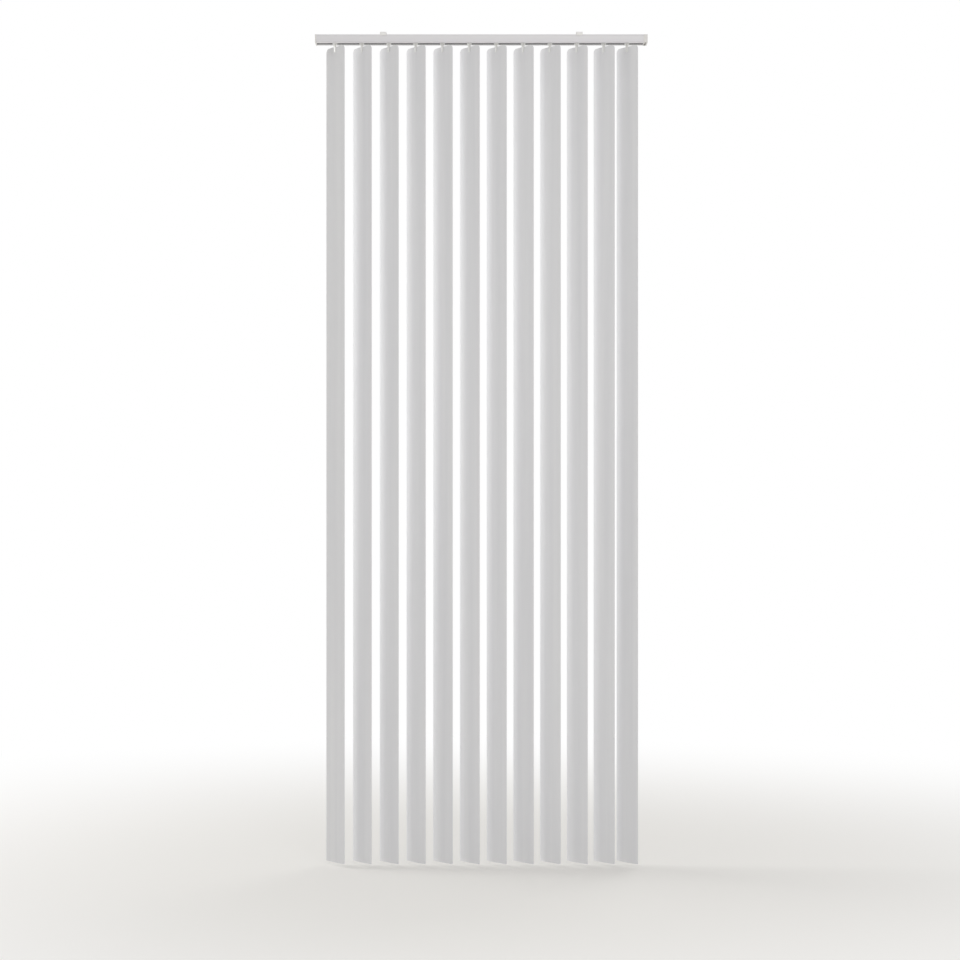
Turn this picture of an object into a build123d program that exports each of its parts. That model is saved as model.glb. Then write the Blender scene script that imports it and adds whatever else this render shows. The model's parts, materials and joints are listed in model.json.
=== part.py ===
from build123d import *

import os
from math import cos, radians, sin

# A vertical blind that hangs from a ceiling: rigid crowned slats on geared carriers in a headrail.
# X runs along the rail, Y points to the back and Z points up, in millimetres.
# The origin lies on the ceiling plane, midway between the two bracket screws.
# Every piece stands at its rest place: slats spread along the rail and turned part of the way.

os.makedirs("parts", exist_ok=True)

# Overall sizes
overall_length = 1000.0
drop = 2500.0
cut_overrun = 1.0
bracket_spacing = 590.0
bracket_gap = 8.0

# Headrail extrusion
rail_depth = 45.0
rail_height = 24.0
rail_wall = 1.3
rail_corner = 1.8
slot_width = 14.0
upstand_height = 2.0
upstand_wall = 1.2
bead_height = 3.0
bead_proud = 0.5
bead_corner = 1.3
hook_groove_drop = 2.5
hook_groove_height = 1.0
hook_groove_depth = 0.5

# Slats
slat_width = 89.0
slat_thickness = 0.7
slat_crown = 2.0
slat_pitch = 81.0
slat_top_corner = 12.0
slat_foot_corner = 1.5
slat_hang = 9.0
rest_tilt = 48.0
first_slat_inset = 59.0
last_slat_inset = 61.0

# Hook stems: a toothed wheel, a shaft and a two-pronged clip in one moulding
wheel_teeth = 12
wheel_tip_radius = 6.0
wheel_root_radius = 4.5
wheel_thickness = 6.0
wheel_lift = 0.5
stem_radius = 2.5
stem_side_count = 8
clip_width = 9.0
clip_depth = 3.0
clip_grip = 16.0
clip_shoulder = 2.5
clip_taper = 1.0
prong_thickness = 1.0
prong_clearance = 0.15
nub_width = 7.0
nub_height = 1.6
nub_drop = 8.5
hang_hole_width = 11.0
hang_hole_height = 3.6

# Carriers
carrier_length = 20.0
stack_gap = 4.0
carrier_depth = 33.0
carrier_roof_clearance = 1.7
skid_clearance = 0.2
skid_height = 2.1
skid_side_clearance = 0.8
neck_length = 14.0
neck_side_clearance = 0.6
neck_drop = 1.0
carrier_wall = 1.6
carrier_chamfer = 1.2
wheel_side_clearance = 0.6
wheel_end_clearance = 0.1
running_clearance = 0.05

# Worms and the hexagonal tilt rod that turns them
rod_across_flats = 4.4
rod_journal_radius = 2.1
rod_end_float = 1.0
rod_shoulder_gap = 1.0
keyed_clearance = 0.1
worm_core_radius = 3.6
worm_side_count = 12
worm_mesh_clearance = 0.3
worm_thread_depth = 1.6
worm_end_clearance = 1.0
bearing_wall = 2.4

# Spacer strips between the carriers
strip_width = 6.0
strip_thickness = 0.4
strip_lanes = 4
strip_lane_pitch = 1.6
strip_overrun = 4.0
strip_side_clearance = 0.3
strip_ear_bite = 0.5
strip_ear_length = 13.0

# Cord guides and end fittings
cord_width = 2.0
cord_lane_y = -7.5
cord_groove_clearance = 0.3
pulley_cord_radius = 3.5
pulley_rim_radius = 5.0
pulley_width = 4.0
pulley_side_count = 24
pulley_side_gap = 0.5
pulley_end_gap = 2.7
axle_radius = 1.2
end_cap_thickness = 4.0
control_cap_thickness = 12.0
cap_wall = 1.8
cap_proud = 0.4
cap_edge = 0.8
cap_flange = 1.0
spigot_length = 10.0
spigot_wall = 1.5
spigot_clearance = 0.2
rod_boss_radius = 4.2
rod_boss_length = 8.0
return_shelf_reach = 24.0
return_shelf_thickness = 1.6

# Bead-chain sprocket
sprocket_radius = 8.6
sprocket_width = 6.5
sprocket_side_gap = 1.7
sprocket_root_radius = 5.6
bead_radius = 2.35
bead_circle_radius = 7.6
bead_pocket_count = 8
outlet_clearance = 0.75
outlet_corner = 1.2
cord_slot_width = 6.0

# Ceiling brackets
bracket_width = 19.0
bracket_thickness = 1.0
bracket_fit = 0.1
bracket_bend = 2.5
hook_bite = 0.4
hook_flare = 0.6
release_reach = 2.4
bracket_screw_radius = 2.25
tongue_width = 8.0
tongue_root = 5.5
tongue_pad = 3.0
tongue_slot = 1.0

# Levels and places that follow from the sizes above
rail_top = -bracket_gap
rail_bottom = rail_top - rail_height
rail_middle = (rail_top + rail_bottom) / 2
rail_face = rail_depth / 2 - bead_proud
lip_top = rail_bottom + rail_wall
inner_half_depth = rail_face - rail_wall
inner_top = rail_top - rail_wall
rail_left = -overall_length / 2 + end_cap_thickness
rail_right = overall_length / 2 - control_cap_thickness
upstand_outside = slot_width / 2 + upstand_wall
plate_cut_z = (-bracket_thickness - cut_overrun, cut_overrun)

carrier_top = inner_top - carrier_roof_clearance
carrier_bottom = lip_top + skid_clearance + skid_height
slat_top = rail_bottom - slat_hang

neck_bottom = rail_bottom - neck_drop
worm_y = wheel_tip_radius + worm_mesh_clearance + worm_core_radius
worm_room_radius = worm_core_radius + worm_thread_depth + worm_mesh_clearance
wheel_z = rail_middle + wheel_lift
wheel_low = wheel_z - wheel_thickness / 2
wheel_high = wheel_z + wheel_thickness / 2
wheel_room_radius = wheel_tip_radius + wheel_side_clearance
well_floor = wheel_low - wheel_end_clearance

spigot_half = inner_half_depth - spigot_clearance
spigot_low = lip_top + spigot_clearance
spigot_high = inner_top - spigot_clearance
spigot_inside_y = (spigot_wall - spigot_half, spigot_half - spigot_wall)
spigot_inside_z = (spigot_low + spigot_wall, spigot_high - spigot_wall)

# The cord runs along two lanes at one height, from a return pulley to two guide pulleys
cord_z = spigot_inside_z[1] - pulley_side_gap - pulley_rim_radius + pulley_cord_radius
cord_near_y = cord_lane_y
cord_far_y = cord_near_y - 2 * pulley_cord_radius
cord_middle_y = (cord_near_y + cord_far_y) / 2
return_pulley_x = rail_left + return_shelf_reach - pulley_rim_radius - pulley_side_gap
guide_pulley_x = overall_length / 2 - cap_wall - pulley_end_gap - pulley_rim_radius
guide_pulley_z = cord_z - pulley_cord_radius
cord_slot_x = guide_pulley_x + pulley_cord_radius
sprocket_x = overall_length / 2 - cap_wall - sprocket_side_gap - sprocket_width / 2
chain_slot_width = 2 * (bead_radius + outlet_clearance)

# Each carrier has a window for the strips of its neighbours, which run at four levels
window_top = cord_z - cord_width / 2 - cord_groove_clearance - carrier_wall
window_z = (window_top - strip_lanes * strip_lane_pitch - strip_thickness, window_top)
window_right = -wheel_room_radius - carrier_wall
window_y = (window_right - strip_width - 2 * strip_side_clearance, window_right)
lowest_lane = window_z[0] + (strip_lane_pitch + strip_thickness) / 2
lane_levels = [lowest_lane + strip_lane_pitch * lane for lane in range(strip_lanes)]

stack_pitch = carrier_length + stack_gap
last_slat_x = overall_length / 2 - last_slat_inset
slat_run = last_slat_x + overall_length / 2 - first_slat_inset
spare_run = slat_run % slat_pitch
last_gap = spare_run if spare_run > stack_pitch else slat_pitch
full_gaps = round((slat_run - last_gap) // slat_pitch)
slat_places = [last_slat_x - last_gap - slat_pitch * k for k in range(full_gaps, -1, -1)]
slat_places.append(last_slat_x)


def block(x_range, y_range, z_range):
    """A rectangular block between two values on each axis."""
    spans = (x_range, y_range, z_range)
    centre = [(low + high) / 2 for low, high in spans]
    size = [high - low for low, high in spans]
    return Pos(*centre) * Box(*size)


def bar_x(radius, x_range, y, z):
    """A round bar along X."""
    low, high = x_range
    return Pos((low + high) / 2, y, z) * Rot(0, 90, 0) * Cylinder(radius, high - low)


def bar_y(radius, y_range, x, z):
    """A round bar along Y."""
    low, high = y_range
    return Pos(x, (low + high) / 2, z) * Rot(90, 0, 0) * Cylinder(radius, high - low)


def post(radius, z_range, x=0.0, y=0.0):
    """A round post along Z."""
    low, high = z_range
    return Pos(x, y, (low + high) / 2) * Cylinder(radius, high - low)


def along_x(section, x_range):
    """A section drawn with (Y, Z) points, extruded along X."""
    low, high = x_range
    return extrude(Plane.YZ.offset(low) * section, high - low, dir=(1, 0, 0))


def hexagon(across_flats):
    """A hexagonal section on the tilt rod's axis."""
    return Pos(worm_y, wheel_z) * RegularPolygon(across_flats / 2, 6, major_radius=False)


def rod_hole(clearance, x_range):
    """The hole that slides along the hexagonal rod and turns with it."""
    return along_x(hexagon(rod_across_flats + 2 * clearance), x_range)


def rail_outline():
    """The outside of the rail: rounded corners, with a proud bead along both lower edges."""
    faces = Pos(0, rail_middle) * RectangleRounded(2 * rail_face, rail_height, rail_corner)
    bead = RectangleRounded(rail_depth, bead_height, bead_corner)
    bead = Pos(0, rail_bottom + bead_height / 2) * bead
    return faces + bead


def make_headrail():
    """A slotted channel with guide upstands beside the slot and hook grooves near the top."""
    hollow_height = rail_height - 2 * rail_wall
    hollow = Pos(0, rail_middle) * Rectangle(2 * inner_half_depth, hollow_height)
    slot = Pos(0, rail_bottom) * Rectangle(slot_width, 4 * rail_wall)
    section = rail_outline() - hollow - slot
    for side in (-1, 1):
        upstand_y = side * (slot_width / 2 + upstand_wall / 2)
        upstand = Rectangle(upstand_wall, upstand_height + rail_wall)
        section += Pos(upstand_y, rail_bottom + (upstand_height + rail_wall) / 2) * upstand
        groove = Rectangle(2 * hook_groove_depth, hook_groove_height)
        section -= Pos(side * rail_face, rail_top - hook_groove_drop) * groove
    return along_x(section, (rail_left, rail_right))


def cap_plate(x_range, outer_side):
    """A moulded plate a little larger than the rail, with softened edges on its outer face."""
    width = rail_depth + 2 * cap_proud
    height = rail_height + 2 * cap_proud
    outline = Rectangle(width, height)
    outline = chamfer(outline.vertices(), rail_corner)
    plate = along_x(Pos(0, rail_middle) * outline, x_range)
    outer_face = plate.faces().sort_by(Axis.X)[-1 if outer_side > 0 else 0]
    return chamfer(outer_face.edges(), cap_edge)


def spigot(x_range):
    """The rim of a cap that pushes into the rail, open over the rail's slot and upstands."""
    rim = block(x_range, (-spigot_half, spigot_half), (spigot_low, spigot_high))
    rim -= block(x_range, spigot_inside_y, spigot_inside_z)
    open_half = upstand_outside + spigot_clearance
    return rim - block(x_range, (-open_half, open_half), (spigot_low, spigot_low + 2 * upstand_height))


def make_end_cap():
    """The cap away from the controls, with the rod's bearing and the return pulley's shelf."""
    cap = cap_plate((-overall_length / 2, rail_left), -1)
    cap += spigot((rail_left, rail_left + spigot_length))
    bearing = (rail_left, rail_left + rod_boss_length)
    cap += bar_x(rod_boss_radius, bearing, worm_y, wheel_z)
    shelf_y = (cord_middle_y - pulley_rim_radius, cord_middle_y + pulley_rim_radius)
    shelf_top = cord_z - pulley_width / 2 - pulley_side_gap
    shelf_z = (shelf_top - return_shelf_thickness, shelf_top)
    cap += block((rail_left, rail_left + return_shelf_reach), shelf_y, shelf_z)
    cap += post(axle_radius, (shelf_z[0], cord_z + pulley_width / 2), return_pulley_x, cord_middle_y)
    return cap - bar_x(rod_journal_radius + running_clearance, bearing, worm_y, wheel_z)


def make_control_cap():
    """The hollow cap over the bead-chain sprocket and the two cord pulleys, with both outlets below."""
    outside = overall_length / 2
    inner_right = outside - cap_wall
    inner_low = rail_bottom - cap_proud + cap_wall
    inner_high = rail_top + cap_proud - cap_wall
    inner_half = rail_depth / 2 + cap_proud - cap_wall
    inner_y = (-inner_half, inner_half)
    cap = cap_plate((rail_right, outside), 1)
    cap -= block((rail_right, inner_right), inner_y, (inner_low, inner_high))
    flange_x = (rail_right, rail_right + cap_flange)
    flange = block(flange_x, inner_y, (inner_low, inner_high))
    cap += flange - block(flange_x, spigot_inside_y, spigot_inside_z)
    spigot_x = (rail_right - spigot_length, rail_right)
    cap += spigot(spigot_x)
    web_x = (spigot_x[0], spigot_x[0] + bearing_wall)
    web_y = (worm_y - rod_boss_radius, spigot_half)
    cap += block(web_x, web_y, (wheel_z - rod_boss_radius, spigot_high))
    cheek_x = (guide_pulley_x - axle_radius - cap_wall, inner_right)
    cheek_z = (guide_pulley_z - axle_radius - cap_wall, inner_high)
    near_cheek = cord_near_y + pulley_width / 2 + pulley_side_gap
    far_cheek = cord_far_y - pulley_width / 2 - pulley_side_gap
    cap += block(cheek_x, (near_cheek, near_cheek + cap_wall), cheek_z)
    cap += block(cheek_x, (far_cheek - cap_wall, far_cheek), cheek_z)
    cap += bar_y(axle_radius, (far_cheek, near_cheek), guide_pulley_x, guide_pulley_z)
    cap -= bar_x(rod_journal_radius + running_clearance, (spigot_x[0], inner_right), worm_y, wheel_z)
    chain_slot_length = 2 * (bead_circle_radius + bead_radius + outlet_clearance)
    cap -= outlet(sprocket_x, worm_y, chain_slot_width, chain_slot_length)
    cord_slot_length = cord_near_y - cord_far_y + cord_slot_width
    return cap - outlet(cord_slot_x, cord_middle_y, cord_slot_width, cord_slot_length)


def outlet(x, y, width, length):
    """The hole through the control cap's floor that a cord or chain leaves by, with its corners cut."""
    hole = Rectangle(width, length)
    hole = chamfer(hole.vertices(), outlet_corner)
    return extrude(Pos(x, y, rail_bottom - cap_proud) * hole, cap_wall)


def make_bracket(x):
    """A spring clip of folded strip: it screws to the ceiling and hooks both top edges of the rail."""
    face = rail_face + bracket_fit
    level = rail_top - hook_groove_drop
    bite = hook_bite + bracket_fit
    front = [(-face, level + bite), (-face + bite, level), (-face - hook_flare, level - hook_flare)]
    rear = [(face + release_reach, level - release_reach), (face - bite, level), (face, level + bite)]
    front_outside = [(y - bracket_thickness, z) for y, z in reversed(front)]
    rear_outside = [(y + bracket_thickness, z) for y, z in reversed(rear)]
    outside_corners = [(-face - bracket_thickness, 0), (face + bracket_thickness, 0)]
    inside_corners = [(face, -bracket_thickness), (-face, -bracket_thickness)]
    points = front_outside + outside_corners + rear_outside + rear + inside_corners + front
    strip = Polygon(*points, align=None)
    strip = fillet(strip.vertices().group_by(Axis.Y)[-1], bracket_bend + bracket_thickness)
    inner_bends = [v for v in strip.vertices() if abs(v.Y + bracket_thickness) < 1e-6]
    strip = fillet(inner_bends, bracket_bend)
    half = bracket_width / 2
    bracket = along_x(strip, (x - half, x + half))
    bracket -= post(bracket_screw_radius, plate_cut_z, x)
    for side in (-1, 1):
        bracket = add_tongue(bracket, x, side)
    return bracket


def add_tongue(bracket, x, side):
    """A tongue cut from the ceiling plate and bent down until its pad presses on the rail."""
    half = tongue_width / 2
    root = side * tongue_root
    tip = side * (rail_face - bracket_bend - 2 * tongue_pad)
    pad_end = tip + side * tongue_pad
    window_end = pad_end + side * tongue_slot
    window_y = sorted((root, window_end))
    bracket -= block((x - half - tongue_slot, x + half + tongue_slot), window_y, plate_cut_z)
    pad_top = rail_top + bracket_thickness
    section = Polygon(
        (root - side * bracket_thickness, 0),
        (root, 0),
        (tip, pad_top),
        (pad_end, pad_top),
        (pad_end, rail_top),
        (tip - side * bracket_thickness / 2, rail_top),
        (root - side * bracket_thickness, -bracket_thickness),
        align=None,
    )
    return bracket + along_x(section, (x - half, x + half))


def make_slat():
    """A crowned strip, hung from a punched hole, with its crown towards -Y before it is turned."""
    crown_radius = (slat_width**2 / 4 + slat_crown**2) / (2 * slat_crown)
    band = Circle(crown_radius + slat_thickness / 2) - Circle(crown_radius - slat_thickness / 2)
    section = Pos(0, crown_radius) * band & Rectangle(2 * slat_width, 8 * slat_crown)
    length = drop + slat_top
    middle = slat_top - length / 2
    strip = extrude(Pos(0, 0, middle) * section, length, both=True)
    outline = Rectangle(slat_width, length)
    outline = chamfer(outline.vertices().group_by(Axis.Y)[0], slat_foot_corner)
    outline = fillet(outline.vertices().group_by(Axis.Y)[-1], slat_top_corner)
    hole_middle = slat_top - nub_drop - hang_hole_height / 2
    hole = Pos(0, hole_middle - middle) * Rectangle(hang_hole_width, hang_hole_height)
    plate = extrude(Plane.XZ * (Pos(0, middle) * (outline - hole)), 4 * slat_crown, both=True)
    return strip & plate


def toothed_wheel(teeth, tip_radius, root_radius, tip_share, root_share):
    """The outline of a wheel whose straight-sided teeth narrow towards their tips."""
    corners = []
    for tooth in range(teeth):
        for radius, share in (
            (root_radius, -root_share),
            (tip_radius, -tip_share),
            (tip_radius, tip_share),
            (root_radius, root_share),
        ):
            angle = radians((tooth + share) * 360 / teeth)
            corners.append((radius * cos(angle), radius * sin(angle)))
    return Polygon(*corners, align=None)


def make_stem():
    """The hook that carries a slat: it hangs in its carrier by the wheel and clips over the slat."""
    outline = toothed_wheel(wheel_teeth, wheel_tip_radius, wheel_root_radius, 0.13, 0.3)
    stem = extrude(Pos(0, 0, wheel_low) * outline, wheel_thickness)
    clip_top = neck_bottom - running_clearance
    shaft = RegularPolygon(stem_radius, stem_side_count)
    stem += extrude(Pos(0, 0, clip_top) * shaft, wheel_low - clip_top)
    shoulder = slat_top + prong_clearance
    clip_foot = slat_top - clip_grip
    grip_inside = slat_thickness / 2 + prong_clearance
    half_depth = grip_inside + prong_thickness
    side_profile = Polygon(
        (-clip_depth / 2, clip_top),
        (-half_depth, shoulder),
        (-half_depth, clip_foot + prong_thickness),
        (-half_depth + prong_thickness / 2, clip_foot),
        (half_depth - prong_thickness / 2, clip_foot),
        (half_depth, clip_foot + prong_thickness),
        (half_depth, shoulder),
        (clip_depth / 2, clip_top),
        align=None,
    )
    clip = along_x(side_profile, (-clip_width / 2, clip_width / 2))
    taper = Polygon(
        (-clip_width / 2, clip_top - clip_shoulder),
        (-clip_width / 2, shoulder),
        (-clip_width / 2 + clip_taper, clip_foot),
        (clip_width / 2 - clip_taper, clip_foot),
        (clip_width / 2, shoulder),
        (clip_width / 2, clip_top - clip_shoulder),
        (clip_width / 2 - clip_shoulder, clip_top),
        (-clip_width / 2 + clip_shoulder, clip_top),
        align=None,
    )
    clip &= extrude(Plane.XZ * taper, 2 * clip_depth, both=True)
    clip -= block((-clip_width, clip_width), (-grip_inside, grip_inside), (clip_foot - cut_overrun, shoulder))
    nub_top = slat_top - nub_drop
    nub_z = (nub_top - nub_height, nub_top)
    clip += block((-nub_width / 2, nub_width / 2), (-grip_inside, grip_inside), nub_z)
    return stem + clip


def make_carrier(lane, has_strip):
    """A moulded runner: it slides on the rail's lips and holds a wheel, a worm and the strips.

    The worm drops in from above, into a round bearing at one end and on a flat saddle at the other.
    """
    half_x = carrier_length / 2
    half_y = carrier_depth / 2
    body = block((-half_x, half_x), (-half_y, half_y), (carrier_bottom, carrier_top))
    body = chamfer(body.edges().filter_by(Axis.X).group_by(Axis.Z)[-1], carrier_chamfer)
    skid_low = lip_top + skid_clearance
    for side in (-1, 1):
        skid_in = side * (upstand_outside + skid_side_clearance)
        skid_out = side * (inner_half_depth - skid_side_clearance)
        skid_y = sorted((skid_in, skid_out))
        body += block((-half_x, half_x), skid_y, (skid_low, carrier_bottom + carrier_wall))
    neck_half = slot_width / 2 - neck_side_clearance
    body += block((-neck_length / 2, neck_length / 2), (-neck_half, neck_half), (neck_bottom, carrier_bottom))
    well_x = (-half_x + bearing_wall, half_x - bearing_wall)
    well_y = (-wheel_room_radius, worm_y + worm_room_radius)
    body -= block(well_x, well_y, (well_floor, carrier_top))
    body -= post(stem_radius + running_clearance, (neck_bottom, well_floor))
    bearing_radius = worm_core_radius + running_clearance
    entry_y = (worm_y - bearing_radius, worm_y + bearing_radius)
    body -= bar_x(bearing_radius, (-half_x, 0), worm_y, wheel_z)
    body -= block((-half_x, 0), entry_y, (wheel_z, carrier_top))
    body -= block((0, half_x), entry_y, (wheel_z - bearing_radius, carrier_top))
    body -= block((-half_x, half_x), window_y, window_z)
    groove_half = cord_width / 2 + cord_groove_clearance
    for cord_y in (cord_near_y, cord_far_y):
        groove_y = (cord_y - groove_half, cord_y + groove_half)
        body -= block((-half_x, half_x), groove_y, (cord_z - groove_half, carrier_top))
    return body + make_strip(lane_levels[lane]) if has_strip else body


def make_strip(level):
    """The spacer of one carrier: its ear holds it there, and it slides through the carriers beside it."""
    centre_y = sum(window_y) / 2
    half_x = carrier_length / 2
    thin = (level - strip_thickness / 2, level + strip_thickness / 2)
    reach = slat_pitch + strip_overrun
    tape = Pos((half_x - reach) / 2, centre_y) * Rectangle(half_x + reach, strip_width)
    tape = chamfer(tape.vertices().group_by(Axis.X)[0], strip_width / 4)
    ear_width = strip_width + 2 * strip_side_clearance + 2 * strip_ear_bite
    ear = Pos(half_x - strip_ear_length / 2, centre_y) * Rectangle(strip_ear_length, ear_width)
    return extrude(Pos(0, 0, thin[0]) * (tape + ear), strip_thickness)


def make_worm():
    """A worm's core, which turns in its carrier's bearings, with the keyed hole for the rod."""
    half = carrier_length / 2 - worm_end_clearance
    core = Pos(worm_y, wheel_z) * RegularPolygon(worm_core_radius, worm_side_count)
    return along_x(core, (-half, half)) - rod_hole(keyed_clearance, (-half, half))


def make_tilt_rod():
    """The hexagonal rod that reaches from the end cap's bearing to the control cap's."""
    left = rail_left + rod_end_float / 2
    right = overall_length / 2 - cap_wall - rod_end_float / 2
    left_shoulder = rail_left + rod_boss_length + rod_shoulder_gap
    right_shoulder = rail_right - spigot_length - rod_shoulder_gap
    rod = along_x(hexagon(rod_across_flats), (left_shoulder, right_shoulder))
    return rod + bar_x(rod_journal_radius, (left, right), worm_y, wheel_z)


def make_sprocket():
    """The wheel that a bead chain turns: a notch for each bead between its teeth."""
    half = sprocket_width / 2
    x_range = (sprocket_x - half, sprocket_x + half)
    outline = toothed_wheel(bead_pocket_count, sprocket_radius, sprocket_root_radius, 0.1, 0.24)
    wheel = along_x(Pos(worm_y, wheel_z) * outline, x_range)
    return wheel - bar_x(rod_journal_radius, x_range, worm_y, wheel_z)


def make_pulley():
    """A grooved cord wheel about the Z axis, centred on the origin."""
    flange = (pulley_width - cord_width) / 2
    floor = RegularPolygon(pulley_cord_radius - cord_width / 2, pulley_side_count)
    rim = RegularPolygon(pulley_rim_radius, pulley_side_count)
    low = -pulley_width / 2
    wheel = extrude(Pos(0, 0, low) * floor, pulley_width)
    wheel += extrude(Pos(0, 0, low) * rim, flange)
    wheel += extrude(Pos(0, 0, -low - flange) * rim, flange)
    return wheel - post(axle_radius + running_clearance, (low, -low))


def write(name, shape):
    """Write one node's file."""
    export_step(shape, f"parts/{name}.step")


write("headrail", make_headrail())
write("end_cap", make_end_cap())
write("control_cap", make_control_cap())
write("bracket_left", make_bracket(-bracket_spacing / 2))
write("bracket_right", make_bracket(bracket_spacing / 2))
write("tilt_rod", make_tilt_rod())
write("chain_sprocket", make_sprocket())

pulley = make_pulley()
write("return_pulley", Pos(return_pulley_x, cord_middle_y, cord_z) * pulley)
write("guide_pulley_near", Pos(guide_pulley_x, cord_near_y, guide_pulley_z) * Rot(90, 0, 0) * pulley)
write("guide_pulley_far", Pos(guide_pulley_x, cord_far_y, guide_pulley_z) * Rot(90, 0, 0) * pulley)

slat = make_slat()
stem = make_stem()
worm = make_worm()
carriers = [make_carrier(lane, True) for lane in range(strip_lanes)]
lead_carrier = make_carrier(0, False)
for index, x in enumerate(slat_places):
    number = f"{index + 1:02d}"
    turned = Pos(x, 0, 0) * Rot(0, 0, -rest_tilt)
    write(f"slat_{number}", turned * slat)
    write(f"stem_{number}", turned * stem)
    carrier = carriers[index % strip_lanes] if index else lead_carrier
    write(f"carrier_{number}", Pos(x, 0, 0) * carrier)
    write(f"worm_{number}", Pos(x, 0, 0) * worm)
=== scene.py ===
# %% [markdown]
# # Dressing a vertical blind
#
# This lesson takes the solid model of a vertical blind and gives it the surfaces of the real one.
# Twelve crowned vinyl slats hang from geared carriers inside a slotted aluminium headrail.
# Each cell makes one thing, prints what it made, and leaves a short value or helper for the next.
#
# The solid model is the frame: it says where every piece sits, so nothing here is placed by eye.
# Lengths of the blind are written in millimetres and multiplied by `mm`.
# The camera, the floor and the lamps are placed in metres.

import json
import math

import bmesh
import bpy
import numpy as np
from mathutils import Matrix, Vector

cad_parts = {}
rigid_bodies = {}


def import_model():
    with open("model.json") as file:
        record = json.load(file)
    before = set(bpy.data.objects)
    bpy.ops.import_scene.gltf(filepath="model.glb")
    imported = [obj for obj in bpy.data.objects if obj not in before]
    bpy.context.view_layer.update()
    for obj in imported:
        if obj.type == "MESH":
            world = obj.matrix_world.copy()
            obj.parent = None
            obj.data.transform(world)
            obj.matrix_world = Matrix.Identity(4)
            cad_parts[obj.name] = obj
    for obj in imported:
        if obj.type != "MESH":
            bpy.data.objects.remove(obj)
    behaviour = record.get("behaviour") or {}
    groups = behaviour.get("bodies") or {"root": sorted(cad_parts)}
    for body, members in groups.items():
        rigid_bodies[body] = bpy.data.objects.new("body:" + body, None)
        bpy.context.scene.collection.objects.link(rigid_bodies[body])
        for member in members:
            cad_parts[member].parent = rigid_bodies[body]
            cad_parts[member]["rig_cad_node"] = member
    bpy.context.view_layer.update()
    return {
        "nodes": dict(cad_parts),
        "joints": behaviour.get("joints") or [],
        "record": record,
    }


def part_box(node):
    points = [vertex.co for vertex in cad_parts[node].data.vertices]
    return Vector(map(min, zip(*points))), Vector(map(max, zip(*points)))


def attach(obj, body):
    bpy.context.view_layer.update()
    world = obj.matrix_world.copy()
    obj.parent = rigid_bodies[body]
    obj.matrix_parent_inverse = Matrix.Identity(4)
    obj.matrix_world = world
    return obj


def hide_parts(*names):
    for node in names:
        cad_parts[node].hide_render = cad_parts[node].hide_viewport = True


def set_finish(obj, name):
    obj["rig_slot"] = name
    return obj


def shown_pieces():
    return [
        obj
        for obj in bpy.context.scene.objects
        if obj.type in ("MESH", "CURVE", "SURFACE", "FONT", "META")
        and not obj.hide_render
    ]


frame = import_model()
record = frame["record"]
mm = 0.001
body_of = {node: body for body, nodes in record["behaviour"]["bodies"].items() for node in nodes}
slot_of = {row["node"]: row["material_slot"] for row in record["subparts"]}
hinges = [joint for joint in frame["joints"] if "pos_m" in joint]
joint_place = {joint["name"]: np.array(joint["pos_m"]) for joint in hinges}
numbers = sorted(node[-2:] for node in body_of if node.startswith("slat_"))
print("loaded", len(body_of), "pieces, with", len(numbers), "slats")

# %% [markdown]
# ## The camera
#
# The verticals of the blind stay parallel in the picture, so the camera looks level.
# It stands six metres away, and the lens is shifted a little up and sideways, so it needs no tilt.
# `vanishing_px` is where lines that run straight away from the camera meet in the picture.

# %% Stand the camera in front of the blind
camera_place = (0.00375, -6.0225, -1.439)
lens_mm = 74.9
vanishing_px = (482.5, 510.6)
picture_px = 960

camera_data = bpy.data.cameras.new("camera")
camera_data.lens = lens_mm
camera_data.sensor_width = 36.0
camera_data.shift_x = (picture_px / 2 - vanishing_px[0]) / picture_px
camera_data.shift_y = (vanishing_px[1] - picture_px / 2) / picture_px
camera = bpy.data.objects.new("camera", camera_data)
camera.location = camera_place
camera.rotation_euler = (math.radians(90), 0, 0)
bpy.context.scene.collection.objects.link(camera)
bpy.context.scene.camera = camera
bpy.context.scene.view_settings.view_transform = "Standard"
print("camera shift", round(camera_data.shift_x, 4), round(camera_data.shift_y, 4))

# %% [markdown]
# ## Small helpers for meshes
#
# A surface on a grid of two parameters is an array of points with rows and columns.
# One function turns such an array into a mesh, and another joins a closed outline to its copy
# further along, which is all that an extruded section needs.

# %% Turn arrays of points into meshes
def mesh_piece(name, points, faces):
    """An object at the origin from an (n, 3) array of points and a list or array of faces."""
    mesh = bpy.data.meshes.new(name)
    mesh.from_pydata(points.tolist(), [], [list(face) for face in faces])
    mesh.validate()
    mesh.shade_smooth()
    piece = bpy.data.objects.new(name, mesh)
    bpy.context.scene.collection.objects.link(piece)
    return piece


def grid_faces(rows, columns, wrap_columns=False):
    """Quads between neighbouring grid points; row r and column c have the index r * columns + c."""
    steps = np.arange(rows - 1), np.arange(columns - (not wrap_columns))
    row, column = np.meshgrid(*steps, indexing="ij")
    right = (column + 1) % columns
    here, below = row * columns, (row + 1) * columns
    corners = (here + column, here + right, below + right, below + column)
    return np.stack([corner.ravel() for corner in corners], axis=1)


def soften(piece, width, segments=2, angle=35.0):
    """Round the sharp edges of a piece, and shade its flats flat."""
    bevel = piece.modifiers.new("soft_edges", "BEVEL")
    bevel.width = width
    bevel.segments = segments
    bevel.limit_method = "ANGLE"
    bevel.angle_limit = math.radians(angle)
    bevel.harden_normals = True
    return piece


def stand_for(piece, node):
    """The piece takes the place of one solid: its body, and its material slot."""
    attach(piece, body_of[node])
    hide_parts(node)
    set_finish(piece, slot_of[node])
    return piece


print("helpers ready")

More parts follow.
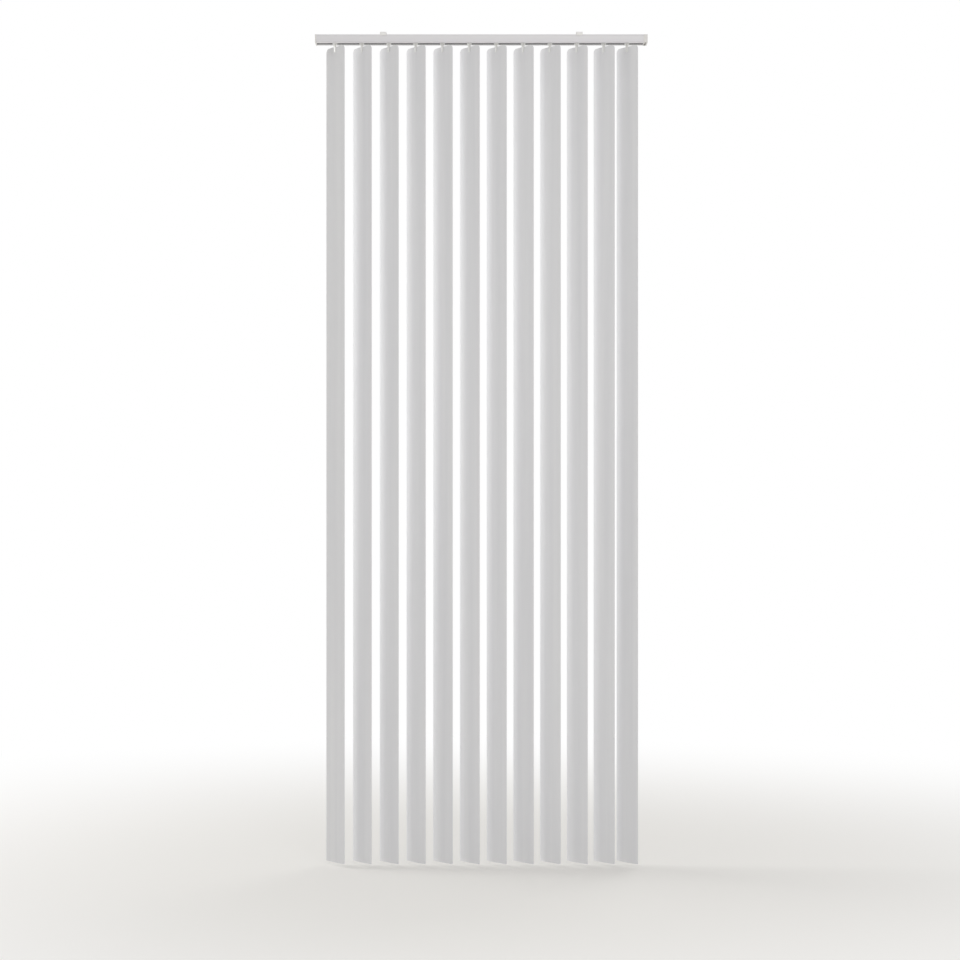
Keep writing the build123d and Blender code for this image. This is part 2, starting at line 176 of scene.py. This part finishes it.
# %% [markdown]
# ## The slats
#
# A slat is a strip of extruded vinyl, rolled to a shallow crown so that it hangs straight.
# Its top corners are rounded, its foot is cut square, and a slot is punched for the hook.
#
# The middle surface is a grid: one parameter runs across the width and the other down the length.
# Leaving out the quads inside the punched slot opens the hole, and Solidify gives the thickness.

# %% Work out the middle surface of a slat
slat_half = 44.5 * mm
slat_thickness = 0.7 * mm
slat_crown = 2.0 * mm
top_corner = 12.0 * mm
foot_corner = 1.5 * mm
hole_half = 5.5 * mm
hole_drop = (8.5 * mm, 12.1 * mm)
rest_tilt = math.radians(48.0)
crown_radius = (slat_half**2 + slat_crown**2) / (2 * slat_crown)
corner_rows = 7
toe_step = 3
straight_rows = 60
side_columns = 9
slat_edge = 0.2 * mm


def slat_rows(foot, top):
    """Heights of the grid rows: close together round the corners, wide apart in between."""
    quarter = np.linspace(0, math.pi / 2, corner_rows)
    corner = top - top_corner * (1 - np.sin(quarter))
    toe = foot + foot_corner * (1 - np.sin(quarter[::toe_step]))
    straight = np.linspace(foot + 4 * foot_corner, top - 3 * hole_drop[1], straight_rows)
    hole = np.array([top - hole_drop[1], top - hole_drop[0]])
    return np.unique(np.concatenate([toe, straight, hole, corner]))


def half_width(height, foot, top):
    """Half the width at a height, less r (1 - sqrt(1 - t^2)) in the top corner and in the toe."""
    above = np.clip((height - (top - top_corner)) / top_corner, 0, 1)
    below = np.clip(((foot + foot_corner) - height) / foot_corner, 0, 1)
    top_inset = top_corner * (1 - np.sqrt(1 - above**2))
    foot_inset = foot_corner * (1 - np.sqrt(1 - below**2))
    return slat_half - (top_inset + foot_inset)


def make_slat(number):
    """Across is u, with crown R - sqrt(R^2 - u^2); the grid is turned and moved to its stem."""
    low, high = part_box(f"slat_{number}")
    foot, top = low.z, high.z
    hole_share = hole_half / slat_half
    side = np.linspace(hole_share, 1, side_columns)
    share = np.concatenate([-side[::-1], [0.0], side])
    rows = slat_rows(foot, top)
    height, across = np.meshgrid(rows, share, indexing="ij")
    u = across * half_width(height, foot, top)
    crown = crown_radius - np.sqrt(crown_radius**2 - u**2)
    cosine, sine = math.cos(rest_tilt), math.sin(rest_tilt)
    x = u * cosine + crown * sine + joint_place[f"tilt_{number}"][0]
    y = crown * cosine - u * sine
    points = np.stack([x, y, height], axis=-1).reshape(-1, 3)
    faces = grid_faces(len(rows), len(share))
    face_drop = top - height.ravel()[faces].mean(axis=1)
    face_across = abs(across.ravel()[faces].mean(axis=1))
    in_drop = (face_drop > hole_drop[0]) & (face_drop < hole_drop[1])
    in_hole = in_drop & (face_across < hole_share)
    slat = mesh_piece(f"vinyl_slat_{number}", points, faces[~in_hole])
    wall = slat.modifiers.new("thickness", "SOLIDIFY")
    wall.thickness = slat_thickness
    wall.offset = 0
    soften(slat, slat_edge)
    return stand_for(slat, f"slat_{number}")


# %% Hang twelve slats
slats = [make_slat(number) for number in numbers]
print(len(slats), "slats of", len(slats[0].data.polygons), "faces before their thickness")

# %% [markdown]
# ## The headrail
#
# The rail is an aluminium extrusion, so one outline says everything about it.
# The outline is a list of corners with a radius for each, and a formula turns a corner into an arc.
# A coat of powder paint fills the sharpest corners, so that no corner is quite square.

# %% Round the corners of an outline
def rounded_outline(corners, radii, steps=6):
    """Replace each corner by an arc of radius r that starts r / tan(half the corner) away."""
    corner = np.array(corners, float)
    before = np.roll(corner, 1, axis=0) - corner
    after = np.roll(corner, -1, axis=0) - corner
    before /= np.linalg.norm(before, axis=1, keepdims=True)
    after /= np.linalg.norm(after, axis=1, keepdims=True)
    half = np.arccos(np.clip((before * after).sum(axis=1), -1, 1)) / 2
    radius = np.array(radii, float)
    centre_way = before + after
    centre_way /= np.linalg.norm(centre_way, axis=1, keepdims=True)
    centre = corner + centre_way * (radius / np.sin(half))[:, None]
    start = corner + before * (radius / np.tan(half))[:, None] - centre
    end = corner + after * (radius / np.tan(half))[:, None] - centre
    turn = math.pi - 2 * half
    share = np.linspace(0, 1, steps)[None, :]
    weight_start = np.sin((1 - share) * turn[:, None]) / np.sin(turn)[:, None]
    weight_end = np.sin(share * turn[:, None]) / np.sin(turn)[:, None]
    arc = weight_start[..., None] * start[:, None] + weight_end[..., None] * end[:, None]
    return (centre[:, None] + arc).reshape(-1, 2)


def extruded(name, outline, x_range):
    """A closed (y, z) outline joined to its copy, with flat ends."""
    count = len(outline)
    ends = [np.column_stack([np.full(count, x), outline]) for x in x_range]
    faces = grid_faces(2, count, wrap_columns=True).tolist()
    faces += [list(range(count - 1, -1, -1)), list(range(count, 2 * count))]
    piece = mesh_piece(name, np.concatenate(ends), faces)
    flats = piece.modifiers.new("flat_shading", "WEIGHTED_NORMAL")
    flats.keep_sharp = True
    return piece


# %% Extrude the headrail
rail_low, rail_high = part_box("headrail")
bead_half = 22.5 * mm
face_half = 22.0 * mm
wall = 1.3 * mm
slot_half = 7.0 * mm
upstand_wall = 1.2 * mm
upstand_height = 2.0 * mm
bead_height = 3.0 * mm
groove_drop = 2.5 * mm
groove_half = 0.5 * mm

inner_half = face_half - wall
lip_top = rail_low.z + wall
channel_top = rail_high.z - wall
upstand_side = slot_half + upstand_wall
upstand_top = lip_top + upstand_height
bead_top = rail_low.z + bead_height
groove_middle = rail_high.z - groove_drop

outer_half = [
    (slot_half, rail_low.z, 0.25),
    (bead_half, rail_low.z, 1.3),
    (bead_half, bead_top, 0.35),
    (face_half, bead_top, 0.12),
    (face_half, groove_middle - groove_half, 0.15),
    (face_half - groove_half, groove_middle - groove_half, 0.1),
    (face_half - groove_half, groove_middle + groove_half, 0.1),
    (face_half, groove_middle + groove_half, 0.15),
    (face_half, rail_high.z, 1.75),
]
inner_half_path = [
    (inner_half, channel_top, 0.4),
    (inner_half, lip_top, 0.4),
    (upstand_side, lip_top, 0.3),
    (upstand_side, upstand_top, 0.3),
    (slot_half, upstand_top, 0.3),
]


def mirrored(path):
    """The same corners on the other side, in the opposite order."""
    return [(-y, z, radius) for y, z, radius in reversed(path)]


rail_corners = outer_half + mirrored(outer_half) + mirrored(inner_half_path) + inner_half_path
corner_places = [(y, z) for y, z, radius in rail_corners]
corner_radii = [radius * mm for y, z, radius in rail_corners]
outline = rounded_outline(corner_places, corner_radii)
headrail = extruded("painted_headrail", outline, (rail_low.x, rail_high.x))
stand_for(headrail, "headrail")
print("headrail section of", len(outline), "points")

# %% [markdown]
# ## Moulded and bent pieces
#
# The caps, clips, hooks, carriers, sprocket and pulleys have their true shape in the solid model.
# What the solids lack is the small radius that every mould and every bent strip leaves on an edge.
# A copy of each solid is merged into clean faces, and a Bevel then rounds and shades its edges.

# %% Copy a solid and round its edges
same_place = 1e-6
flat_angle = math.radians(0.5)


def softened(node, width):
    """A copy of a solid with its doubles merged, its flats joined, and its edges rounded."""
    mesh = frame["nodes"][node].data.copy()
    mesh.name = f"finished_{node}"
    work = bmesh.new()
    work.from_mesh(mesh)
    bmesh.ops.remove_doubles(work, verts=work.verts, dist=same_place)
    bmesh.ops.dissolve_limit(work, angle_limit=flat_angle, verts=work.verts, edges=work.edges)
    work.to_mesh(mesh)
    work.free()
    mesh.shade_smooth()
    piece = bpy.data.objects.new(mesh.name, mesh)
    bpy.context.scene.collection.objects.link(piece)
    soften(piece, width)
    return stand_for(piece, node)


edge_widths = {
    "end_cap": 0.45,
    "control_cap": 0.45,
    "bracket": 0.2,
    "stem": 0.12,
    "carrier": 0.12,
    "chain_sprocket": 0.15,
    "return_pulley": 0.08,
    "guide_pulley": 0.08,
}
for node in body_of:
    for family, width in edge_widths.items():
        if node.startswith(family):
            softened(node, width * mm)
print("softened the moulded and bent pieces")

# %% [markdown]
# ## The worms
#
# A worm is a screw whose single thread runs between the teeth of the hook's wheel.
# The surface is a grid of turn and length: its radius is the core, plus a ridge that repeats once
# each lead and slips round with the turn. The ridge fades out before the bearings at both ends.
# One turn has to move the thread by one tooth, so the lead is the wheel's pitch circle divided by
# its twelve teeth.

# %% Wind the thread round a worm
worm_core = 3.6 * mm
thread_height = 1.5 * mm
thread_reach = 7.0 * mm
thread_fade = 0.8 * mm
crest_half_share = 0.1
flank_share = 0.1
wheel_teeth = 12
pitch_radius = 5.25 * mm
lead = 2 * math.pi * pitch_radius / wheel_teeth
tooth_gap_turn = math.radians(87.0)
rod_hole_flats = 4.6 * mm
ring_points = 48
ring_count = 109
sharp_angle = math.radians(40)


def ridge(phase):
    """A clipped triangle wave: one on the thread's crest, zero beside it, sloping in between."""
    distance = abs((phase + 0.5) % 1.0 - 0.5)
    return np.clip((crest_half_share + flank_share - distance) / flank_share, 0, 1)


def hexagon_radius(turns):
    """Distance to a hexagon's side: half its width over the cosine of the angle from the side."""
    from_flat = (turns + math.pi / 6) % (math.pi / 3) - math.pi / 6
    return (rod_hole_flats / 2) / np.cos(from_flat)


def make_worm(number):
    """Radius = core + height * ridge(x / lead - turn / 2 pi) * fade(x), round a hexagonal bore."""
    low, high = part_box(f"worm_{number}")
    centre = joint_place[f"worm_turn_{number}"]
    turns = np.linspace(0, 2 * math.pi, ring_points, endpoint=False)
    along = np.linspace(low.x, high.x, ring_count)
    x, turn = np.meshgrid(along, turns, indexing="ij")
    crest = centre[0] + pitch_radius * math.cos(tooth_gap_turn)
    phase = (x - crest) / lead - (turn - math.pi) / (2 * math.pi)
    fade = np.clip((thread_reach - abs(x - centre[0])) / thread_fade, 0, 1)
    radius = worm_core + thread_height * ridge(phase) * fade
    bore = hexagon_radius(turns)
    ends = [np.full(ring_points, along[-1]), np.full(ring_points, along[0])]
    rings_x = np.concatenate([x, ends, x[:1]])
    rings_radius = np.concatenate([radius, [bore, bore], radius[:1]])
    rings_turn = np.broadcast_to(turns, rings_x.shape)
    y = centre[1] + rings_radius * np.cos(rings_turn)
    z = centre[2] + rings_radius * np.sin(rings_turn)
    points = np.stack([rings_x, y, z], axis=-1).reshape(-1, 3)
    faces = grid_faces(len(rings_x), ring_points, wrap_columns=True)
    worm = mesh_piece(f"threaded_worm_{number}", points, faces)
    work = bmesh.new()
    work.from_mesh(worm.data)
    bmesh.ops.remove_doubles(work, verts=work.verts, dist=same_place)
    bmesh.ops.recalc_face_normals(work, faces=work.faces)
    work.to_mesh(worm.data)
    work.free()
    worm.data.set_sharp_from_angle(angle=sharp_angle)
    return stand_for(worm, f"worm_{number}")


worms = [make_worm(number) for number in numbers]
print(len(worms), "worms with a lead of", round(lead / mm, 3), "mm")

# %% [markdown]
# ## Finishes
#
# Nothing here is one flat colour. Every material mixes a slow mottle into its colour and its gloss,
# and a fine relief into its normals: orange peel on paint, spark erosion on mouldings, and faint
# lines along whatever was extruded. Both effects are node groups, which each material reuses.

# %% Build the mottle and relief groups
def new_group(name, inputs, outputs):
    """An empty node group with named number or vector inputs and number outputs."""
    group = bpy.data.node_groups.new(name, "ShaderNodeTree")
    for label, kind, default in inputs:
        socket = group.interface.new_socket(label, in_out="INPUT", socket_type=kind)
        socket.default_value = default
    for label in outputs:
        group.interface.new_socket(label, in_out="OUTPUT", socket_type="NodeSocketFloat")
    return group, group.nodes.new("NodeGroupInput"), group.nodes.new("NodeGroupOutput")


def make_mottle():
    """A soft cloud between 0 and 1: noise on object coordinates, pulled out by the stretch."""
    inputs = [("Stretch", "NodeSocketVector", (1, 1, 1)), ("Scale", "NodeSocketFloat", 10.0)]
    group, source, result = new_group("mottle", inputs, ["Cloud"])
    place = group.nodes.new("ShaderNodeTexCoord")
    stretch = group.nodes.new("ShaderNodeVectorMath")
    stretch.operation = "MULTIPLY"
    noise = group.nodes.new("ShaderNodeTexNoise")
    noise.inputs["Detail"].default_value = 3.0
    spread = group.nodes.new("ShaderNodeMapRange")
    spread.inputs["From Min"].default_value = 0.3
    spread.inputs["From Max"].default_value = 0.7
    group.links.new(place.outputs["Object"], stretch.inputs[0])
    group.links.new(source.outputs["Stretch"], stretch.inputs[1])
    group.links.new(stretch.outputs["Vector"], noise.inputs["Vector"])
    group.links.new(source.outputs["Scale"], noise.inputs["Scale"])
    group.links.new(noise.outputs["Fac"], spread.inputs["Value"])
    group.links.new(spread.outputs["Result"], result.inputs["Cloud"])
    return group


def make_relief():
    """The height of a fine skin: small bumps everywhere, plus lines along the extrusion."""
    inputs = [
        ("Bump Scale", "NodeSocketFloat", 1500.0),
        ("Line Stretch", "NodeSocketVector", (1, 1, 1)),
        ("Line Share", "NodeSocketFloat", 0.0),
    ]
    group, source, result = new_group("relief", inputs, ["Height"])
    place = group.nodes.new("ShaderNodeTexCoord")
    bumps = group.nodes.new("ShaderNodeTexNoise")
    bumps.inputs["Detail"].default_value = 1.0
    stretch = group.nodes.new("ShaderNodeVectorMath")
    stretch.operation = "MULTIPLY"
    lines = group.nodes.new("ShaderNodeTexNoise")
    lines.inputs["Scale"].default_value = 1.0
    mix = group.nodes.new("ShaderNodeMix")
    group.links.new(place.outputs["Object"], bumps.inputs["Vector"])
    group.links.new(source.outputs["Bump Scale"], bumps.inputs["Scale"])
    group.links.new(place.outputs["Object"], stretch.inputs[0])
    group.links.new(source.outputs["Line Stretch"], stretch.inputs[1])
    group.links.new(stretch.outputs["Vector"], lines.inputs["Vector"])
    group.links.new(source.outputs["Line Share"], mix.inputs["Factor"])
    group.links.new(bumps.outputs["Fac"], mix.inputs["A"])
    group.links.new(lines.outputs["Fac"], mix.inputs["B"])
    group.links.new(mix.outputs["Result"], result.inputs["Height"])
    return group


mottle = make_mottle()
relief = make_relief()
print("node groups:", mottle.name, "and", relief.name)


# %% Write one function for all the finishes
def linear(red, green, blue):
    """Screen values of 0 to 255 as linear light."""
    screen = np.array([red, green, blue]) / 255
    light = np.where(screen <= 0.04045, screen / 12.92, ((screen + 0.055) / 1.055) ** 2.4)
    return (*light.tolist(), 1.0)


def add_group(material, group, values):
    """Place a node group in a material and set its inputs."""
    node = material.node_tree.nodes.new("ShaderNodeGroup")
    node.node_tree = group
    for label, value in values.items():
        node.inputs[label].default_value = value
    return node


def finish(slot, dark, pale, gloss, mottling, skin, depth, metallic=0.0, ior=1.46):
    """A material whose cloud moves the colour from dark to pale and the roughness along gloss."""
    material = bpy.data.materials.new(slot)
    material.use_nodes = True
    tree = material.node_tree
    shader = tree.nodes["Principled BSDF"]
    shader.inputs["Metallic"].default_value = metallic
    shader.inputs["IOR"].default_value = ior
    cloud = add_group(material, mottle, mottling)
    colour = tree.nodes.new("ShaderNodeMix")
    colour.data_type = "RGBA"
    colour.inputs["A"].default_value = linear(*dark)
    colour.inputs["B"].default_value = linear(*pale)
    rough = tree.nodes.new("ShaderNodeMapRange")
    rough.inputs["To Min"].default_value = gloss[0]
    rough.inputs["To Max"].default_value = gloss[1]
    height = add_group(material, relief, skin)
    bump = tree.nodes.new("ShaderNodeBump")
    bump.inputs["Strength"].default_value = 1.0
    bump.inputs["Distance"].default_value = depth * mm
    tree.links.new(cloud.outputs["Cloud"], colour.inputs["Factor"])
    tree.links.new(cloud.outputs["Cloud"], rough.inputs["Value"])
    tree.links.new(colour.outputs["Result"], shader.inputs["Base Color"])
    tree.links.new(rough.outputs["Result"], shader.inputs["Roughness"])
    tree.links.new(height.outputs["Height"], bump.inputs["Height"])
    tree.links.new(bump.outputs["Normal"], shader.inputs["Normal"])
    return material


# %% Mix the eight finishes
even = (1.0, 1.0, 1.0)
along_slat = (1.0, 1.0, 0.02)
along_rail = (0.02, 1.0, 1.0)
finishes = {
    "slat_vinyl": finish(
        "slat_vinyl", (221, 221, 223), (227, 227, 228), (0.38, 0.5),
        {"Stretch": along_slat, "Scale": 40.0},
        {"Bump Scale": 1400.0, "Line Stretch": (900.0, 900.0, 4.0), "Line Share": 0.5}, 0.02,
    ),
    "rail_paint": finish(
        "rail_paint", (219, 217, 220), (226, 225, 226), (0.3, 0.42),
        {"Stretch": along_rail, "Scale": 25.0},
        {"Bump Scale": 1100.0, "Line Stretch": (4.0, 900.0, 900.0), "Line Share": 0.25}, 0.03,
    ),
    "cap_plastic": finish(
        "cap_plastic", (220, 218, 215), (228, 226, 223), (0.42, 0.55),
        {"Stretch": even, "Scale": 60.0},
        {"Bump Scale": 3200.0}, 0.02,
    ),
    "bracket_steel": finish(
        "bracket_steel", (232, 231, 228), (241, 240, 238), (0.25, 0.38),
        {"Stretch": even, "Scale": 80.0},
        {"Bump Scale": 1600.0}, 0.02,
    ),
    "rod_aluminium": finish(
        "rod_aluminium", (186, 187, 190), (206, 207, 209), (0.28, 0.4),
        {"Stretch": along_rail, "Scale": 60.0},
        {"Bump Scale": 2500.0, "Line Stretch": (6.0, 3000.0, 3000.0), "Line Share": 0.8}, 0.01,
        metallic=1.0,
    ),
    "inner_plastic": finish(
        "inner_plastic", (214, 212, 204), (224, 222, 214), (0.35, 0.45),
        {"Stretch": even, "Scale": 90.0},
        {"Bump Scale": 2600.0}, 0.015,
    ),
    "carrier_plastic": finish(
        "carrier_plastic", (220, 220, 217), (229, 229, 226), (0.4, 0.52),
        {"Stretch": even, "Scale": 70.0},
        {"Bump Scale": 2600.0}, 0.02,
    ),
    "hook_plastic": finish(
        "hook_plastic", (226, 226, 224), (235, 235, 233), (0.25, 0.36),
        {"Stretch": even, "Scale": 90.0},
        {"Bump Scale": 2600.0}, 0.01,
    ),
}


def coat(piece, slot):
    """Give a piece the one material of its slot."""
    piece.data.materials.clear()
    piece.data.materials.append(finishes[slot])


for node in body_of:
    coat(frame["nodes"][node], slot_of[node])
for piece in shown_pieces():
    if "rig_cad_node" not in piece:
        coat(piece, piece["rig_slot"])
print("finishes:", ", ".join(finishes))

# %% [markdown]
# ## Painted shade in the channel
#
# Inside the channel and on the two faces of the slot, the rail is coloured a dark metal. This is
# painted shade, so that the slot looks dark from below. The mask is one in two regions of the
# section,
# each a half width and two heights: the channel, and the slot. It swaps the paint's colour for the
# dark painted shade, and makes the surface metallic there.

# %% Paint shade inside the headrail's channel and slot
def maths(tree, operation, *values):
    """The output of a Math node whose inputs are numbers or sockets."""
    node = tree.nodes.new("ShaderNodeMath")
    node.operation = operation
    for socket, value in zip(node.inputs, values):
        if isinstance(value, float):
            socket.default_value = value
        else:
            tree.links.new(value, socket)
    return node.outputs["Value"]


def within(tree, value, low, high):
    """One where low < value < high and zero elsewhere."""
    above = maths(tree, "GREATER_THAN", value, low)
    below = maths(tree, "LESS_THAN", value, high)
    return maths(tree, "MULTIPLY", above, below)


def paint_channel_shade(material, regions, shade_colour):
    """Mix the colour towards the dark painted shade, and set Metallic, by the larger of two masks.
    """
    tree = material.node_tree
    shader = tree.nodes["Principled BSDF"]
    place = tree.nodes.new("ShaderNodeTexCoord")
    axes = tree.nodes.new("ShaderNodeSeparateXYZ")
    tree.links.new(place.outputs["Object"], axes.inputs["Vector"])
    masks = []
    for half, levels in regions:
        across = within(tree, axes.outputs["Y"], -half, half)
        upright = within(tree, axes.outputs["Z"], *levels)
        masks.append(maths(tree, "MULTIPLY", across, upright))
    mask = maths(tree, "MAXIMUM", *masks)
    colour = tree.nodes.new("ShaderNodeMix")
    colour.data_type = "RGBA"
    colour.inputs["B"].default_value = linear(*shade_colour)
    paint = shader.inputs["Base Color"].links[0].from_socket
    tree.links.new(mask, colour.inputs["Factor"])
    tree.links.new(paint, colour.inputs["A"])
    tree.links.new(colour.outputs["Result"], shader.inputs["Base Color"])
    tree.links.new(mask, shader.inputs["Metallic"])


skin = 0.1 * mm
# painted shade: this dark metal colour stands for the shade in the slot and the channel
painted_shade_metal = (46, 47, 50)
channel_region = (inner_half + skin, (lip_top - skin, channel_top + skin))
slot_region = (slot_half + skin, (rail_low.z + 2 * skin, channel_top + skin))
paint_channel_shade(finishes["rail_paint"], (channel_region, slot_region), painted_shade_metal)
# the printed words below name the dark painted shade in the channel and on the slot's faces
print("bare metal in the channel and on the slot's faces")

# %% [markdown]
# ## Floor, background and light
#
# The blind hangs over a plain pale floor that fades into a white surround, so it has no horizon.
# The surround is white only to the camera and to reflections; what lights the blind is softer.
# A wide lamp in front gives an even light. Two lamps at the side and behind reach the far edge of
# each slat past its neighbour, and leave the rest in a gentle shade. The outermost slat has no
# neighbour on that side, so those two lamps pass it over.

# %% Lay the floor and set the surround
floor_level = -2512 * mm
floor_half = 30.0
floor_fade = (0.6, 3.5)
surround_light = 0.65
floor_corners = np.array([(-1, -1), (1, -1), (1, 1), (-1, 1)]) * floor_half
floor_points = np.column_stack([floor_corners, np.full(4, floor_level)])
floor = mesh_piece("floor", floor_points, [(0, 1, 2, 3)])

floor_paint = bpy.data.materials.new("floor_paint")
floor_paint.use_nodes = True
floor_tree = floor_paint.node_tree
floor_shader = floor_tree.nodes["Principled BSDF"]
floor_shader.inputs["Base Color"].default_value = linear(238, 236, 232)
floor_shader.inputs["Roughness"].default_value = 0.9
floor.data.materials.append(floor_paint)


def seen_white(tree):
    """One for rays from the camera, from a gloss and through a clear piece, and zero for others."""
    path = tree.nodes.new("ShaderNodeLightPath")
    seen = maths(tree, "MAXIMUM", path.outputs["Is Camera Ray"], path.outputs["Is Glossy Ray"])
    return maths(tree, "MAXIMUM", seen, path.outputs["Is Transmission Ray"])


def fade_floor(tree):
    """Mix the floor into plain white between two distances from the blind's middle."""
    place = tree.nodes.new("ShaderNodeTexCoord")
    flat = tree.nodes.new("ShaderNodeVectorMath")
    flat.operation = "MULTIPLY"
    flat.inputs[1].default_value = (1, 1, 0)
    reach = tree.nodes.new("ShaderNodeVectorMath")
    reach.operation = "LENGTH"
    fade = tree.nodes.new("ShaderNodeMapRange")
    fade.interpolation_type = "SMOOTHSTEP"
    fade.inputs["From Min"].default_value = floor_fade[0]
    fade.inputs["From Max"].default_value = floor_fade[1]
    white = tree.nodes.new("ShaderNodeEmission")
    mix = tree.nodes.new("ShaderNodeMixShader")
    tree.links.new(place.outputs["Object"], flat.inputs[0])
    tree.links.new(flat.outputs["Vector"], reach.inputs[0])
    tree.links.new(reach.outputs["Value"], fade.inputs["Value"])
    share = maths(tree, "MULTIPLY", fade.outputs["Result"], seen_white(tree))
    paint = tree.nodes["Principled BSDF"]
    tree.links.new(share, mix.inputs["Fac"])
    tree.links.new(paint.outputs["BSDF"], mix.inputs[1])
    tree.links.new(white.outputs["Emission"], mix.inputs[2])
    tree.links.new(mix.outputs["Shader"], tree.nodes["Material Output"].inputs["Surface"])


fade_floor(floor_tree)

world = bpy.data.worlds.new("surround")
bpy.context.scene.world = world
world.use_nodes = True
world_tree = world.node_tree
surround = world_tree.nodes["Background"]
surround.inputs["Color"].default_value = (1.0, 1.0, 1.0, 1.0)
level = world_tree.nodes.new("ShaderNodeMapRange")
level.inputs["To Min"].default_value = surround_light
level.inputs["To Max"].default_value = 1.0
world_tree.links.new(seen_white(world_tree), level.inputs["Value"])
world_tree.links.new(level.outputs["Result"], surround.inputs["Strength"])
print("floor at", floor_level, "m, fading between", *floor_fade, "m")


# %% Light the blind
def soft_lamp(name, place, target, size, power):
    """A flat lamp, turned to its target and not seen itself; size is width and height."""
    lamp_data = bpy.data.lights.new(name, "AREA")
    lamp_data.shape = "RECTANGLE"
    lamp_data.size, lamp_data.size_y = size
    lamp_data.energy = power
    lamp = bpy.data.objects.new(name, lamp_data)
    lamp.location = place
    heading = np.subtract(target, place)
    lamp.rotation_euler = (
        math.atan2(math.hypot(heading[0], heading[1]), -heading[2]),
        0,
        math.atan2(heading[1], heading[0]) - math.pi / 2,
    )
    lamp.visible_camera = False
    bpy.context.scene.collection.objects.link(lamp)
    return lamp


def pass_over(lamps, piece):
    """Leave a piece out of what the lamps light."""
    spared = bpy.data.collections.new("passed_over")
    spared.objects.link(piece)
    spared.collection_objects[0].light_linking.link_state = "EXCLUDE"
    for lamp in lamps:
        lamp.light_linking.receiver_collection = spared


blind_middle = (0.0, 0.0, -1.25)
lamp_rows = {
    "front_lamp": ((1.2, -4.2, -0.1), (3.0, 3.0), 42.0),
    "fringe_lamp": ((-6.0, 0.85, -0.2), (1.4, 3.2), 90.0),
    "side_lamp": ((-5.2, 2.6, -0.4), (2.4, 3.0), 60.0),
    "back_lamp": ((2.5, 4.5, -0.5), (3.0, 3.0), 40.0),
}
lamps = {
    name: soft_lamp(name, place, blind_middle, size, power)
    for name, (place, size, power) in lamp_rows.items()
}
pass_over((lamps["fringe_lamp"], lamps["side_lamp"]), slats[0])
print("lamps:", ", ".join(lamps))
